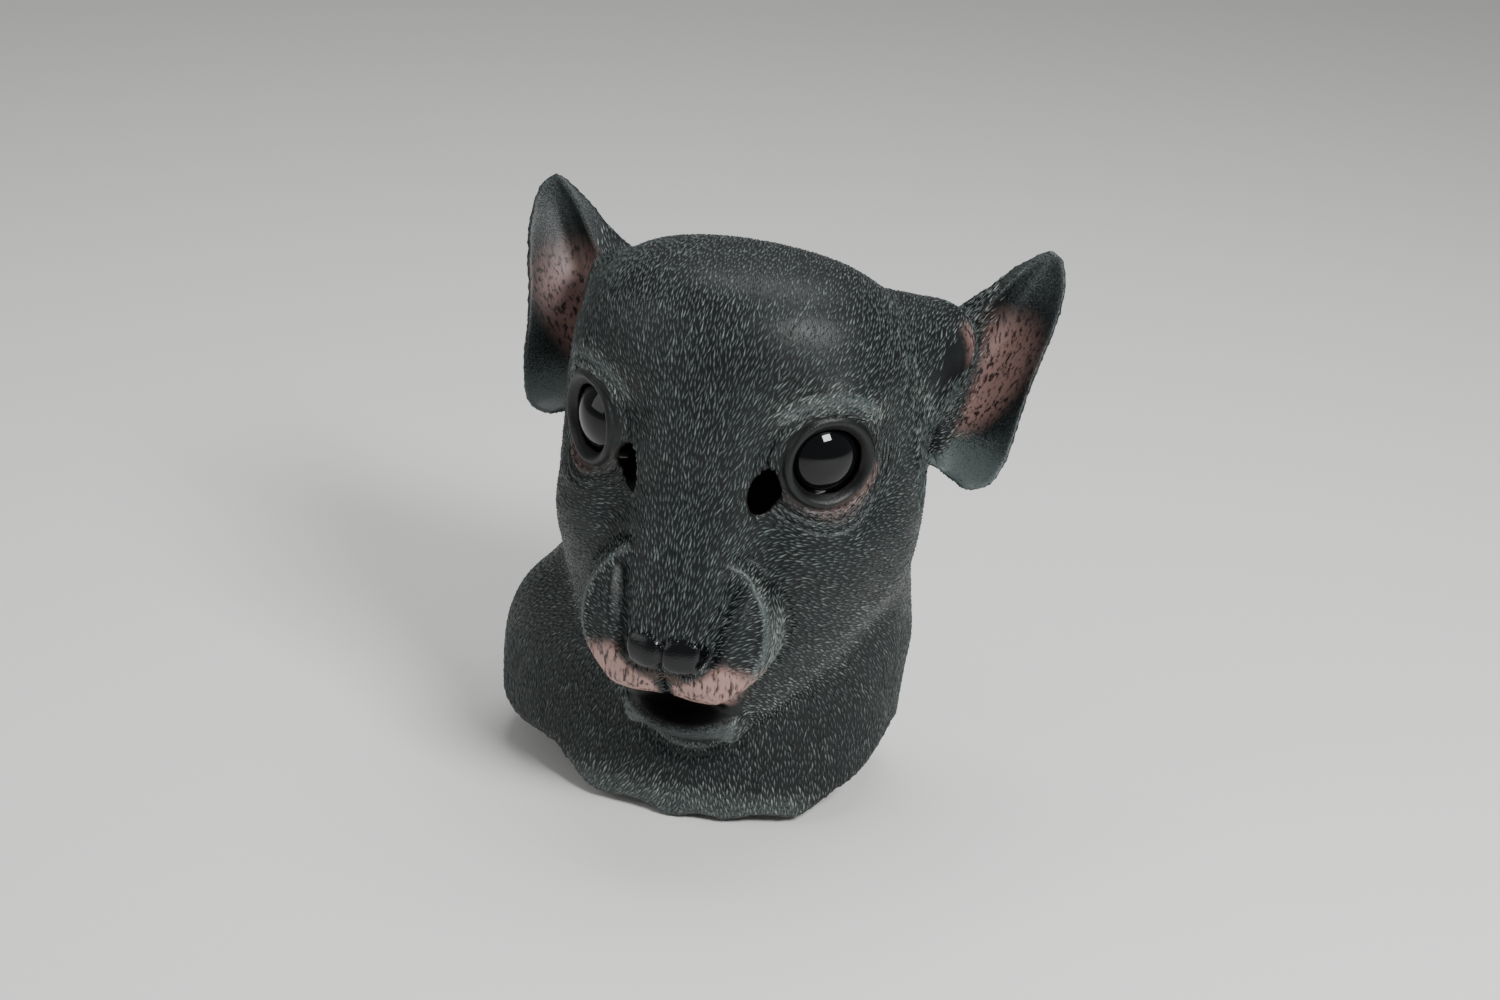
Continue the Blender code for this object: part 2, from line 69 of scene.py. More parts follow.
Array = np.ndarray
Ring = tuple[float, float, float]

# The mask's right and left.
SIDES = (-1, 1)

# The face plane and the eye level that the sculpting is measured from, in metres of the row frame.
FACE_PLANE = -0.0481
EYE_LEVEL = -0.0973
MM = 0.001

# The corners of one fur stroke, and the faces that close it.
TAIL, LEFT, TOP, RIGHT, HEAD = range(5)
STROKE_FACES = (
    (TAIL, LEFT, TOP),
    (TAIL, TOP, RIGHT),
    (HEAD, TOP, LEFT),
    (HEAD, RIGHT, TOP),
    (TAIL, RIGHT, LEFT),
    (HEAD, LEFT, RIGHT),
)


class Region(Enum):
    """What the material reads from the mesh, each a float attribute from 0 to 1."""

    PINK = "pink"
    BRUSH = "brushing_and_highlight"
    # Dry-brushing, with painted highlights on the muzzle's rim, the jaw line and the brows.
    GLOSS = "gloss"
    TAN = "tan"
    BLACK = "black"
    RAW = "raw"
    TIP = "tip"


def smoothstep(value: Array, low: float, high: float) -> Array:
    """Eases from 0 at low to 1 at high.

    Args:
        value: Numbers to ease.
        low: Where the result is 0.
        high: Where the result is 1.

    Returns:
        The eased numbers.
    """
    share = np.clip((value - low) / (high - low), 0.0, 1.0)
    return share * share * (3.0 - 2.0 * share)


def bump(value: Array, centre: float, width: float) -> Array:
    """A soft hill of height 1 at the centre, that falls off over the width."""
    return np.exp(-(((value - centre) / width) ** 2))


def unit(vectors: Array) -> Array:
    """The same vectors at length 1."""
    return vectors / np.maximum(np.linalg.norm(vectors, axis=-1, keepdims=True), 1e-12)


def line_distance(x: Array, h: Array, path: tuple[tuple[float, float], ...]) -> Array:
    """How far points of the x, h plane lie from an open path.

    Args:
        x: Places across.
        h: Places up.
        path: Corners of the path.

    Returns:
        The distance of each point, in the path's unit.
    """
    found = np.full(x.shape, 1e9)
    for (x0, h0), (x1, h1) in zip(path, path[1:]):
        dx, dh = x1 - x0, h1 - h0
        share = np.clip(((x - x0) * dx + (h - h0) * dh) / (dx * dx + dh * dh), 0.0, 1.0)
        found = np.minimum(found, np.hypot(x - x0 - share * dx, h - h0 - share * dh))
    return found


@dataclass
class Anatomy:
    """Where the mask's features lie, in millimetres across, ahead of the face plane and up from the eyes."""

    eye_x: float = 67.5
    eye_turn: float = math.radians(41)
    eye_radius: float = 27.0
    eye_setback: float = 16.8
    muzzle_h: float = -96.0
    muzzle_half_width: float = 56.0
    muzzle_half_height: float = 47.0
    furrow: tuple[tuple[float, float], ...] = ((33, -70), (30, -84), (27, -98), (27, -108))
    nose_h: float = -106.5
    nose_lobe_x: float = 11.5
    nose_half_width: float = 13.0
    nose_half_height: float = 10.5
    mouth: tuple[float, float, float] = (0.0, 34.0, -155.8)
    mouth_halves: tuple[float, float, float] = (29.0, 20.0, 8.5)
    mouth_tilt: float = math.radians(12)
    chin_top: float = -158.0
    chin_half_width: float = 33.0
    chin_drop: float = 35.0
    wedge_x: float = 3.0
    wedge_top: float = -134.0
    wedge_flare: float = 0.6
    jaw: tuple[tuple[float, float], ...] = ((30, -172), (44, -163), (75, -131), (98, -93))
    ear_root: tuple[float, float, float] = (98.7, -95.0, 10.9)
    ear_axes: dict[int, tuple[float, float, float]] = field(
        default_factory=lambda: {-1: (0.600, 0.425, 0.760), 1: (0.515, 0.475, 0.713)}
    )
    ear_facing: tuple[float, float, float] = (0.034, -0.843, 0.538)

    def local(self, points: Array) -> tuple[Array, Array, Array]:
        """Row-frame metres as millimetres across, ahead and up.

        Args:
            points: Places in the row frame.

        Returns:
            Across, ahead of the face plane, and up from the eye level.
        """
        return points[:, 0] / MM, (FACE_PLANE - points[:, 1]) / MM, (points[:, 2] - EYE_LEVEL) / MM

    def around_eye(self, points: Array, side: int) -> tuple[Array, Array, Array]:
        """Each point's place round one eye's axis.

        Args:
            points: Places in the row frame.
            side: 1 for the mask's left eye, -1 for its right.

        Returns:
            Distance from the axis, place along it, and how far up the point lies as a share of the distance.
        """
        x, f, h = self.local(points)
        ax, af = side * math.sin(self.eye_turn), math.cos(self.eye_turn)
        along = (x - side * self.eye_x) * ax + f * af
        across = (x - side * self.eye_x) * af * side - f * ax * side
        radius = np.hypot(across, h)
        return radius, along, h / np.maximum(radius, 1e-6)

    def ear_frame(self, side: int) -> tuple[Array, Array, Array, Array]:
        """An ear's root in metres and its directions: along, across and back.

        Args:
            side: 1 for the mask's left ear, -1 for its right.

        Returns:
            Root, along, across and back, in the row frame.
        """
        flip = np.array([side, 1.0, 1.0])
        out, ahead, up = self.ear_root
        root = np.array([side * out * MM, FACE_PLANE - ahead * MM, EYE_LEVEL + up * MM])
        along = unit(np.array(self.ear_axes[side]))
        across = unit(np.cross(along, np.array(self.ear_facing)))
        return root, along * flip, across * flip, np.cross(along, across) * flip

    def in_ear(self, points: Array, side: int) -> tuple[Array, Array, Array]:
        """Each point's place in an ear, in millimetres, and how surely it belongs to the ear.

        Args:
            points: Places in the row frame.
            side: 1 for the mask's left ear, -1 for its right.

        Returns:
            Along, across, and a weight from 0 on the head to 1 on the ear.
        """
        root, along, across, _ = self.ear_frame(side)
        away = (points - root) / MM
        x, f, h = self.local(points)
        out = smoothstep(x * side + 0.25 * (f - self.ear_root[1]), 106.0, 116.0)
        return away @ along, away @ across, out * smoothstep(f, -40.0, -60.0) * smoothstep(h, -52.0, -42.0)

    def muzzle_share(self, x: Array, h: Array) -> Array:
        """How far out a point lies on the muzzle's cushion: 1 at its rim."""
        return np.hypot(x / self.muzzle_half_width, (h - self.muzzle_h) / self.muzzle_half_height)

    def chin_share(self, x: Array, h: Array) -> Array:
        """How far out a point lies on the chin below the mouth: 1 at its U-shaped edge."""
        return np.hypot(x / self.chin_half_width, np.minimum(h - self.chin_top, 0.0) / self.chin_drop)

    def in_wedge(self, x: Array, h: Array) -> Array:
        """1 in the notch where the upper lips part, 0 beside it."""
        inward = (self.wedge_top - h) * self.wedge_flare - np.abs(x - self.wedge_x)
        return smoothstep(inward, 0.0, 1.8) * smoothstep(h, -158.0, -152.0)

    def nose_share(self, x: Array, h: Array) -> Array:
        """How far out a point lies on its lobe of the nose: 1 at the lobe's edge."""
        out = (np.abs(x) - self.nose_lobe_x) / self.nose_half_width
        return np.hypot(out, (h - self.nose_h) / self.nose_half_height)

    def near_eye(self, x: Array, along: Array, side: int) -> Array:
        """1 where a point may belong to one eye's lids, 0 elsewhere."""
        return smoothstep(np.abs(along), 34.0, 22.0) * (x * side > 15.0)

    def in_ear_cup(self, normals: Array, side: int, low: float, high: float) -> Array:
        """1 where a surface looks out of the ear's cup, 0 where it looks away, eased from low to high."""
        facing = (normals * -self.ear_frame(side)[3]).sum(axis=1)
        return smoothstep(facing, low, high)

    def in_mouth(self, points: Array) -> Array:
        """How far from the middle of the mouth's pocket each point lies: 1 at its wall."""
        x, f, h = self.local(points)
        mx, mf, mh = self.mouth
        df, dh = f - mf, h - mh
        tilt = self.mouth_tilt
        ahead = df * math.cos(tilt) - dh * math.sin(tilt)
        up = df * math.sin(tilt) + dh * math.cos(tilt)
        rx, rf, rh = self.mouth_halves
        return np.sqrt(((x - mx) / rx) ** 2 + (ahead / rf) ** 2 + (up / rh) ** 2)


def deselect() -> None:
    """Leaves nothing selected, in object mode."""
    if bpy.context.mode != "OBJECT":
        bpy.ops.object.mode_set(mode="OBJECT")
    bpy.ops.object.select_all(action="DESELECT")


def activate(piece: bpy.types.Object) -> None:
    """Selects one object alone and makes it the active one."""
    deselect()
    piece.select_set(True)
    bpy.context.view_layer.objects.active = piece


def modify(piece: bpy.types.Object, kind: str, **settings: Any) -> None:
    """Adds a modifier and applies it.

    Args:
        piece: The object that gets it.
        kind: The modifier's type.
        settings: Its values by name.
    """
    activate(piece)
    step = piece.modifiers.new(kind.lower(), kind)
    for name, value in settings.items():
        setattr(step, name, value)
    bpy.ops.object.modifier_apply(modifier=step.name)


def read_points(mesh: bpy.types.Mesh) -> Array:
    """The mesh's points as rows of x, y, z."""
    flat = np.empty(len(mesh.vertices) * 3, np.float32)
    mesh.vertices.foreach_get("co", flat)
    return flat.reshape(-1, 3).astype(float)


def write_points(mesh: bpy.types.Mesh, points: Array) -> None:
    """Puts the points back in the mesh."""
    mesh.vertices.foreach_set("co", points.astype(np.float32).ravel())
    mesh.update()


def read_normals(mesh: bpy.types.Mesh) -> Array:
    """The mesh's point normals."""
    flat = np.empty(len(mesh.vertices) * 3, np.float32)
    mesh.vertex_normals.foreach_get("vector", flat)
    return flat.reshape(-1, 3).astype(float)


def read_edges(mesh: bpy.types.Mesh) -> Array:
    """The mesh's edges as pairs of point numbers."""
    flat = np.empty(len(mesh.edges) * 2, np.int32)
    mesh.edges.foreach_get("vertices", flat)
    return flat.reshape(-1, 2)


def read_triangles(mesh: bpy.types.Mesh) -> Array:
    """The mesh's triangles as rows of three point numbers."""
    mesh.calc_loop_triangles()
    flat = np.empty(len(mesh.loop_triangles) * 3, np.int32)
    mesh.loop_triangles.foreach_get("vertices", flat)
    return flat.reshape(-1, 3)


def soften(points: Array, edges: Array, weight: Array, passes: int) -> Array:
    """Points eased towards their neighbours' middle.

    Args:
        points: Rows of places or values.
        edges: Pairs of neighbours.
        weight: How much each point follows, from 0 to 1.
        passes: How many times.

    Returns:
        The eased points.
    """
    count = np.bincount(edges.ravel(), minlength=len(points)).astype(float)[:, None]
    first, second = edges[:, 0], edges[:, 1]
    for _ in range(passes):
        total = np.zeros_like(points)
        for axis in range(points.shape[1]):
            total[:, axis] = np.bincount(first, points[second, axis], len(points))
            total[:, axis] += np.bincount(second, points[first, axis], len(points))
        points = points + weight[:, None] * 0.5 * (total / np.maximum(count, 1.0) - points)
    return points


def set_values(mesh: bpy.types.Mesh, region: Region, values: Array) -> None:
    """Stores one number a point under the region's name."""
    layer = mesh.attributes.get(region.value) or mesh.attributes.new(region.value, "FLOAT", "POINT")
    layer.data.foreach_set("value", np.clip(values, 0.0, 1.0).astype(np.float32))


def read_values(mesh: bpy.types.Mesh, region: Region) -> Array:
    """The numbers stored under the region's name, one a point."""
    found = np.empty(len(mesh.vertices), np.float32)
    mesh.attributes[region.value].data.foreach_get("value", found)
    return found.astype(float)


@dataclass
class Painter:
    """Works out the painted areas and the sculpted relief of any points of the skin."""

    anatomy: Anatomy = field(default_factory=Anatomy)
    # Rise, distance from the eye's axis and width of each ring, in mm; the lower ones fade out above the eye.
    lid_rings: tuple[Ring, ...] = ((1.5, 24.6, 2.2), (-1.5, 28.6, 1.1), (1.2, 31.4, 1.7), (-0.5, 34.6, 1.0))
    lower_rings: tuple[Ring, ...] = ((-0.7, 34.6, 1.0), (0.9, 37.2, 1.6), (-0.9, 39.8, 0.9), (0.5, 42.4, 1.5))
    wrinkle_pitch: float = 3.1

    def relief(self, points: Array) -> Array:
        """How far each point of the outer skin moves out along its normal, in metres.

        Args:
            points: Places in the row frame.

        Returns:
            Metres outwards, negative inwards.
        """
        body = self.anatomy
        x, f, h = body.local(points)
        ax = np.abs(x)
        height = np.zeros(len(points))
        for side in SIDES:
            radius, along, up = body.around_eye(points, side)
            low = smoothstep(-up, -0.55, 0.25)
            ring = sum(rise * bump(radius, at, width) for rise, at, width in self.lid_rings)
            ring += low * sum(rise * bump(radius, at, width) for rise, at, width in self.lower_rings)
            ring += 0.38 * np.sin(2.0 * math.pi * radius / self.wrinkle_pitch) * bump(radius, 32.0, 7.0)
            height += body.near_eye(x, along, side) * ring
        muzzle = smoothstep(f, 8.0, 18.0) * smoothstep(h, -152.0, -146.0) * smoothstep(-h, 44.0, 52.0)
        share = body.muzzle_share(x, h)
        flank = muzzle * smoothstep(ax, 22.0, 34.0)
        height += flank * (1.5 * bump(share, 0.955, 0.035) - 1.6 * bump(share, 1.09, 0.055))
        furrow = line_distance(ax, h, body.furrow)
        front = smoothstep(f, 22.0, 34.0)
        height -= front * (5.2 * bump(furrow, 0.0, 4.4) - 1.2 * bump(furrow, 8.6, 3.4))
        height += front * 3.4 * np.sqrt(np.clip(1.0 - body.nose_share(x, h) ** 2, 0.0, 1.0))
        septum = bump(x, 0.0, 1.3) * smoothstep(h, -123.0, -118.0) * smoothstep(-h, 96.0, 99.0)
        nostril = bump(np.hypot(ax - 22.0, 1.3 * (h + 111.0)), 0.0, 3.0)
        under_nose = bump(h, -119.5, 1.6) * smoothstep(-ax, -24.0, -16.0)
        cleft = bump(x, 0.0, 2.0) * smoothstep(-h, 120.0, 126.0) * smoothstep(h, -149.0, -143.0)
        height -= front * (2.2 * septum + 3.0 * nostril + 1.6 * under_nose + 3.2 * cleft)
        pad = bump(np.hypot((ax - 22.0) / 22.0, (h + 138.0) / 11.0), 0.0, 0.9)
        height += front * 3.2 * pad
        height -= front * 3.0 * body.in_wedge(x, h)
        lip = bump(body.in_mouth(points), 1.42, 0.20) * smoothstep(f, 4.0, 14.0)
        height += 3.0 * lip * smoothstep(-h, 157.0, 165.0)
        chin = body.chin_share(x, h)
        edge = 1.9 * bump(chin, 0.99, 0.09) - 1.8 * bump(chin, 1.21, 0.09)
        height += edge * smoothstep(-h, 156.0, 164.0) * smoothstep(f, -16.0, -6.0)
        jaw = line_distance(ax, h, body.jaw)
        height += 1.8 * bump(jaw, 0.0, 5.0) * smoothstep(f, -60.0, -30.0)
        return height * MM

    def paint(self, points: Array, normals: Array, raw: Array) -> dict[Region, Array]:
        """How much of each paint every point carries, painted highlights and painted shade among them.

        Args:
            points: Places in the row frame.
            normals: Their normals.
            raw: 1 on the wall that faces the hollow, 0 outside.

        Returns:
            Numbers from 0 to 1 by region.
        """
        body = self.anatomy
        x, f, h = body.local(points)
        ax = np.abs(x)
        outer = 1.0 - raw
        front = smoothstep(f, 22.0, 34.0)
        share = body.muzzle_share(x, h)
        gloss = front * smoothstep(-body.nose_share(x, h), -1.08, -0.92)
        pocket = body.in_mouth(points)
        # The mouth's pocket is painted black, which also paints in the shade deep in the mouth.
        black = smoothstep(-pocket, -1.14, -1.04) * (f < 56.0)
        turn = np.degrees(np.arctan2(-(h - body.muzzle_h), np.maximum(ax, 1e-6)))
        pink = front * smoothstep(share, 0.56, 0.74) * smoothstep(turn, 14.0, 34.0) * smoothstep(ax, 3.0, 7.0)
        under_nose = 0.4 * bump(h, -123.0, 4.0) * smoothstep(-ax, -16.0, -9.0)
        tan = front * np.maximum(body.in_wedge(x, h), under_nose)
        pink *= smoothstep(h, -154.0, -148.0) * (1.0 - black) * (1.0 - tan)
        black = black * (1.0 - tan)
        # Painted highlight: the muzzle's rim and the jaw line are painted lighter, on top of the even
        # dry-brushing.
        rim = bump(share, 0.98, 0.05) * smoothstep(f, 8.0, 18.0) * smoothstep(ax, 22.0, 36.0)
        brushing_and_highlight = 0.18 + 0.55 * rim
        brushing_and_highlight += 0.30 * bump(line_distance(ax, h, body.jaw), 0.0, 9.0) * smoothstep(f, -60.0, -30.0)
        chin = body.chin_share(x, h)
        under = smoothstep(-h, 156.0, 164.0) * smoothstep(f, -16.0, -6.0)
        brushing_and_highlight += under * (0.55 * bump(chin, 0.97, 0.07) + 0.35 * smoothstep(-chin, -0.95, -0.80))
        brushing_and_highlight += 0.45 * smoothstep(-h, 205.0, 228.0) * smoothstep(f, -30.0, 0.0)
        for side in SIDES:
            radius, along, up = body.around_eye(points, side)
            near = body.near_eye(x, along, side)
            low = smoothstep(-up, -0.2, 0.5)
            outward = 0.35 + 0.65 * smoothstep(x * side, 60.0, 84.0)
            pink = np.maximum(pink, 0.26 * near * low * bump(radius, 30.0, 5.0) * outward)
            # Painted highlight on the brow: only the upper arc of the ring round each eye is painted lighter.
            brushing_and_highlight += 0.55 * near * bump(radius, 37.0, 7.0) * smoothstep(up, 0.35, 0.8)
            black = np.maximum(black, near * smoothstep(-radius, -24.0, -20.5) * 0.9)
            a, b, weight = body.in_ear(points, side)
            inside = weight * body.in_ear_cup(normals, side, 0.05, 0.45)
            core = bump(a, 30.0, 50.0) * bump(b, 12.0, 30.0)
            flesh = smoothstep(core, 0.25, 0.85) * smoothstep(-f, 92.0, 106.0)
            pink = np.maximum(pink, inside * 0.5 * flesh)
            brushing_and_highlight += 0.45 * inside * (1.0 - core) + 0.35 * inside * smoothstep(-a, -14.0, 14.0)
        return {
            Region.PINK: pink * outer,
            Region.BRUSH: brushing_and_highlight,
            Region.GLOSS: gloss * outer,
            Region.TAN: tan * outer,
            Region.BLACK: black * outer,
            Region.RAW: raw,
        }

    def bare(self, points: Array, normals: Array, raw: Array) -> Array:
        """1 where the skin carries no fur strokes, 0 where it is full of them.

        Args:
            points: Places in the row frame.
            normals: Their normals.
            raw: 1 on the wall that faces the hollow, 0 outside.

        Returns:
            A number from 0 to 1 for each.
        """
        body = self.anatomy
        x, f, h = body.local(points)
        paint = self.paint(points, normals, raw)
        smooth = (Region.RAW, Region.GLOSS, Region.BLACK, Region.TAN)
        found = np.maximum.reduce([paint[region] for region in smooth])
        found = np.maximum(found, smoothstep(paint[Region.PINK], 0.3, 0.55))
        lip = smoothstep(body.in_mouth(points), 1.55, 1.3) * (f > 10.0) * (h < -140.0)
        chin = smoothstep(-body.chin_share(x, h), -1.0, -0.9) * (h < -156.0) * (f > -12.0)
        found = np.maximum.reduce([found, lip, chin])
        found = np.maximum(found, smoothstep(-normals[:, 2], 0.75, 0.9) * (h < -195.0))
        for side in SIDES:
            radius, along, _ = body.around_eye(points, side)
            near = (np.abs(along) < 34.0) & (x * side > 15.0)
            found = np.maximum(found, near * smoothstep(-radius, -32.5, -28.0))
            weight = body.in_ear(points, side)[2]
            found = np.maximum(found, weight * body.in_ear_cup(normals, side, 0.0, 0.35))
        return found

    def flow(self, points: Array, normals: Array) -> Array:
        """The way the fur lies at each point, along the surface.

        Args:
            points: Places in the row frame.
            normals: Their normals.

        Returns:
            Unit vectors in the surface.
        """
        body = self.anatomy
        x, f, h = body.local(points)
        side = np.sign(x)
        ax = np.abs(x)
        way = np.tile(np.array([0.0, 0.75, 0.65]), (len(points), 1))
        way[:, 0] = 0.10 * side * smoothstep(ax, 10.0, 60.0)
        cheek = smoothstep(ax, 30.0, 58.0) * smoothstep(-h, -10.0, 22.0) * smoothstep(h, -215.0, -150.0)
        fall = -0.10 - 0.55 * smoothstep(-h, 60.0, 150.0)
        cheek_way = np.stack([0.35 * side, np.ones_like(x), fall], axis=1)
        way = way * (1 - cheek[:, None]) + cheek_way * cheek[:, None]
        neck = smoothstep(-h, 135.0, 185.0) * smoothstep(-f, -30.0, -5.0)
        neck = np.maximum(neck, smoothstep(-f, 60.0, 110.0) * smoothstep(-h, -10.0, 70.0))
        neck = np.maximum(neck, smoothstep(-h, 90.0, 150.0) * smoothstep(-f, 10.0, 60.0))
        neck_way = np.stack([0.18 * side, -0.12 * np.ones_like(x), -np.ones_like(x)], axis=1)
        way = way * (1 - neck[:, None]) + neck_way * neck[:, None]
        pad = smoothstep(f, 14.0, 26.0) * smoothstep(ax, 20.0, 32.0)
        pad = pad * smoothstep(-h, 55.0, 75.0) * (h > -155.0)
        pad_way = np.stack([x / 40.0, -0.1 * np.ones_like(x), (h - body.nose_h) / 40.0 + 0.15], axis=1)
        way = way * (1 - pad[:, None]) + unit(pad_way) * pad[:, None]
        for eye in SIDES:
            radius, along, up = body.around_eye(points, eye)
            near = (np.abs(along) < 40.0) * (x * eye > 5.0) * smoothstep(-radius, -62.0, -36.0)
            near = near * (0.35 + 0.65 * smoothstep(-up, -0.5, 0.3))
            axis = np.array([eye * math.sin(body.eye_turn), -math.cos(body.eye_turn), 0.0])
            centre = np.array([eye * body.eye_x * MM, FACE_PLANE, EYE_LEVEL])
            round_way = unit(np.cross(np.broadcast_to(axis, points.shape), points - centre))
            round_way *= np.sign((round_way * way).sum(axis=1, keepdims=True) + 1e-9)
            way = way * (1 - near[:, None]) + round_way * near[:, None]
            ear_way = body.ear_frame(eye)[1]
            root = smoothstep(x * eye, 84.0, 104.0) * smoothstep(h, -20.0, 10.0) * smoothstep(-f, 50.0, 80.0)
            weight = np.maximum(body.in_ear(points, eye)[2], 0.8 * root)
            way = way * (1 - weight[:, None]) + ear_way * weight[:, None]
        way -= (way * normals).sum(axis=1, keepdims=True) * normals
        return unit(way)


@dataclass
class LatexSkin:
    """The one moulded skin: the CAD form melted to an even grid, then sculpted and painted."""

    voxel: float = 0.00125
    softening: int = 14
    most_triangles: int = 190_000
    # The hollow's middle line: its top, how far behind the origin it runs, and its shift at the hem.
    hollow_top: float = -0.07
    hollow_behind: float = 0.02
    hem_shift: float = -0.022
    clearance: float = 0.0006
    painter: Painter = field(default_factory=Painter)

    def build(self) -> bpy.types.Object:
        """Makes the skin's mesh from a copy of its solid.

        Returns:
            The finished object, with its painted areas stored on it.
        """
        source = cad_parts["latex_skin"]
        mesh = source.data.copy()
        mesh.materials.clear()
        skin = bpy.data.objects.new("latex_mask", mesh)
        bpy.context.scene.collection.objects.link(skin)
        activate(skin)
        bpy.ops.object.mode_set(mode="EDIT")
        bpy.ops.mesh.select_all(action="SELECT")
        bpy.ops.mesh.remove_doubles(threshold=0.00001)
        bpy.ops.object.mode_set(mode="OBJECT")
        modify(skin, "SUBSURF", levels=1, render_levels=1)
        modify(skin, "REMESH", mode="VOXEL", voxel_size=self.voxel)
        self.sculpt(skin)
        triangles = sum(len(face.vertices) - 2 for face in skin.data.polygons)
        modify(skin, "DECIMATE", ratio=min(1.0, self.most_triangles / triangles))
        self.store_paint(skin)
        activate(skin)
        bpy.ops.object.shade_smooth()
        return skin

    def sculpt(self, skin: bpy.types.Object) -> None:
        """Smooths the facets away and presses folds, furrows, nose and lips into the outer skin."""
        mesh = skin.data
        points, edges = read_points(mesh), read_edges(mesh)
        body = self.painter.anatomy
        weight = 1.0 - 0.75 * smoothstep(-body.local(points)[2], 190.0, 205.0)
        for side in SIDES:
            weight = np.minimum(weight, 1.0 - 0.6 * body.in_ear(points, side)[2])
        points = soften(points, edges, weight, self.softening)
        write_points(mesh, points)
        normals = read_normals(mesh)
        raw = soften(self.facing_hollow(mesh)[:, None], edges, np.ones(len(points)), 3)[:, 0]
        set_values(mesh, Region.RAW, raw)
        relief = self.painter.relief(points)
        move = relief * (1.0 - raw) - np.minimum(relief, 0.0) * raw
        points = points + normals * move[:, None]
        points = soften(points, edges, np.full(len(points), 0.5), 1)
        write_points(mesh, points)

    def facing_hollow(self, mesh: bpy.types.Mesh) -> Array:
        """Tells the inner wall by looking from each point to the middle of the hollow.

        Args:
            mesh: The closed skin.

        Returns:
            1 for each point that sees the hollow's middle line, 0 for the rest.
        """
        points, normals = read_points(mesh), read_normals(mesh)
        tree = BVHTree.FromPolygons(points.tolist(), [tuple(face.vertices) for face in mesh.polygons])
        level = np.minimum(points[:, 2], self.hollow_top)
        aside = self.hem_shift * smoothstep(-level, 0.20, 0.30)
        middle = np.stack([aside, np.full(len(level), self.hollow_behind), level], axis=1)
        starts = points + normals * self.clearance
        ways = middle - starts
        found = np.zeros(len(points))
        for index, (start, way) in enumerate(zip(starts, ways)):
            found[index] = tree.ray_cast(Vector(start), Vector(way), np.linalg.norm(way))[0] is None
        return found

    def store_paint(self, skin: bpy.types.Object) -> None:
        """Stores the painted areas as attributes of the mesh."""
        mesh = skin.data
        raw = read_values(mesh, Region.RAW)
        paint = self.painter.paint(read_points(mesh), read_normals(mesh), raw)
        for region, values in paint.items():
            set_values(mesh, region, values)
        set_values(mesh, Region.TIP, np.zeros(len(mesh.vertices)))


